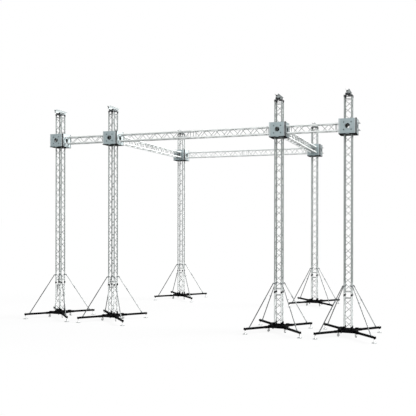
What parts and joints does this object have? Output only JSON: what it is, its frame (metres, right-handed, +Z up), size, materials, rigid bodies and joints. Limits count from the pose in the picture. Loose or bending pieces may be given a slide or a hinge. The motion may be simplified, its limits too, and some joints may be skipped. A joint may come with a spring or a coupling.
{
  "type": "stage roof truss system",
  "caption": "Square stage roof of box truss with a short wing at each side, on sleeve blocks that slide up and down mast towers with outrigger bases.",
  "frame": {"origin": "on the ground below the middle of the whole system", "axes": "+Z up, X along the front row of four towers, the front faces -Y"},
  "size_m": [13.433, 8.6318, 8.2509],
  "materials": {
    "truss_aluminium": "satin",
    "block_grey": "satin",
    "black_paint": "satin",
    "grey_steel": "satin",
    "sheave_steel": "satin"
  },
  "bodies": {
    "towers": {"base_front_left_wing": "black_paint", "base_mast_front_left_wing": "truss_aluminium", "mast_front_left_wing": "truss_aluminium", "mast_top_plate_front_left_wing": "grey_steel", "roller_beam_front_left_wing": "block_grey", "base_front_left": "black_paint", "base_mast_front_left": "truss_aluminium", "mast_front_left": "truss_aluminium", "mast_top_plate_front_left": "grey_steel", "roller_beam_front_left": "block_grey", "base_front_right": "black_paint", "base_mast_front_right": "truss_aluminium", "mast_front_right": "truss_aluminium", "mast_top_plate_front_right": "grey_steel", "roller_beam_front_right": "block_grey", "base_front_right_wing": "black_paint", "base_mast_front_right_wing": "truss_aluminium", "mast_front_right_wing": "truss_aluminium", "mast_top_plate_front_right_wing": "grey_steel", "roller_beam_front_right_wing": "block_grey", "base_back_left": "black_paint", "base_mast_back_left": "truss_aluminium", "mast_back_left": "truss_aluminium", "mast_top_plate_back_left": "grey_steel", "roller_beam_back_left": "block_grey", "base_back_right": "black_paint", "base_mast_back_right": "truss_aluminium", "mast_back_right": "truss_aluminium", "mast_top_plate_back_right": "grey_steel", "roller_beam_back_right": "block_grey"},
    "roof": {"sleeve_block_front_left_wing": "block_grey", "sleeve_block_front_left": "block_grey", "sleeve_block_front_right": "block_grey", "sleeve_block_front_right_wing": "block_grey", "sleeve_block_back_left": "block_grey", "sleeve_block_back_right": "block_grey", "beam_front_left_half": "truss_aluminium", "beam_front_right_half": "truss_aluminium", "beam_back_left_half": "truss_aluminium", "beam_back_right_half": "truss_aluminium", "beam_left_front_half": "truss_aluminium", "beam_left_back_half": "truss_aluminium", "beam_right_front_half": "truss_aluminium", "beam_right_back_half": "truss_aluminium", "beam_left_wing": "truss_aluminium", "beam_right_wing": "truss_aluminium"},
    "sheave_front_front_left_wing_wheel": {"sheave_front_front_left_wing": "sheave_steel"},
    "sheave_back_front_left_wing_wheel": {"sheave_back_front_left_wing": "sheave_steel"},
    "sheave_front_front_left_wheel": {"sheave_front_front_left": "sheave_steel"},
    "sheave_back_front_left_wheel": {"sheave_back_front_left": "sheave_steel"},
    "sheave_front_front_right_wheel": {"sheave_front_front_right": "sheave_steel"},
    "sheave_back_front_right_wheel": {"sheave_back_front_right": "sheave_steel"},
    "sheave_front_front_right_wing_wheel": {"sheave_front_front_right_wing": "sheave_steel"},
    "sheave_back_front_right_wing_wheel": {"sheave_back_front_right_wing": "sheave_steel"},
    "sheave_front_back_left_wheel": {"sheave_front_back_left": "sheave_steel"},
    "sheave_back_back_left_wheel": {"sheave_back_back_left": "sheave_steel"},
    "sheave_front_back_right_wheel": {"sheave_front_back_right": "sheave_steel"},
    "sheave_back_back_right_wheel": {"sheave_back_back_right": "sheave_steel"}
  },
  "joints": [
    {"name": "roof_lift", "type": "slide", "parent": "towers", "child": "roof", "axis": [0, 0, 1], "range_m": [-5, 0.6]},
    {"name": "sheave_front_front_left_wing_spin", "type": "hinge", "parent": "towers", "child": "sheave_front_front_left_wing_wheel", "pos_m": [-5.70105, -3.61045, 8.1749], "axis": [1, 0, 0], "continuous": true},
    {"name": "sheave_back_front_left_wing_spin", "type": "hinge", "parent": "towers", "child": "sheave_back_front_left_wing_wheel", "pos_m": [-5.70105, -2.99045, 8.1749], "axis": [1, 0, 0], "continuous": true},
    {"name": "sheave_front_front_left_spin", "type": "hinge", "parent": "towers", "child": "sheave_front_front_left_wheel", "pos_m": [-3.30045, -3.61045, 8.1749], "axis": [1, 0, 0], "continuous": true},
    {"name": "sheave_back_front_left_spin", "type": "hinge", "parent": "towers", "child": "sheave_back_front_left_wheel", "pos_m": [-3.30045, -2.99045, 8.1749], "axis": [1, 0, 0], "continuous": true},
    {"name": "sheave_front_front_right_spin", "type": "hinge", "parent": "towers", "child": "sheave_front_front_right_wheel", "pos_m": [3.30045, -3.61045, 8.1749], "axis": [1, 0, 0], "continuous": true},
    {"name": "sheave_back_front_right_spin", "type": "hinge", "parent": "towers", "child": "sheave_back_front_right_wheel", "pos_m": [3.30045, -2.99045, 8.1749], "axis": [1, 0, 0], "continuous": true},
    {"name": "sheave_front_front_right_wing_spin", "type": "hinge", "parent": "towers", "child": "sheave_front_front_right_wing_wheel", "pos_m": [5.70105, -3.61045, 8.1749], "axis": [1, 0, 0], "continuous": true},
    {"name": "sheave_back_front_right_wing_spin", "type": "hinge", "parent": "towers", "child": "sheave_back_front_right_wing_wheel", "pos_m": [5.70105, -2.99045, 8.1749], "axis": [1, 0, 0], "continuous": true},
    {"name": "sheave_front_back_left_spin", "type": "hinge", "parent": "towers", "child": "sheave_front_back_left_wheel", "pos_m": [-3.30045, 2.99045, 8.1749], "axis": [1, 0, 0], "continuous": true},
    {"name": "sheave_back_back_left_spin", "type": "hinge", "parent": "towers", "child": "sheave_back_back_left_wheel", "pos_m": [-3.30045, 3.61045, 8.1749], "axis": [1, 0, 0], "continuous": true},
    {"name": "sheave_front_back_right_spin", "type": "hinge", "parent": "towers", "child": "sheave_front_back_right_wheel", "pos_m": [3.30045, 2.99045, 8.1749], "axis": [1, 0, 0], "continuous": true},
    {"name": "sheave_back_back_right_spin", "type": "hinge", "parent": "towers", "child": "sheave_back_back_right_wheel", "pos_m": [3.30045, 3.61045, 8.1749], "axis": [1, 0, 0], "continuous": true}
  ]
}
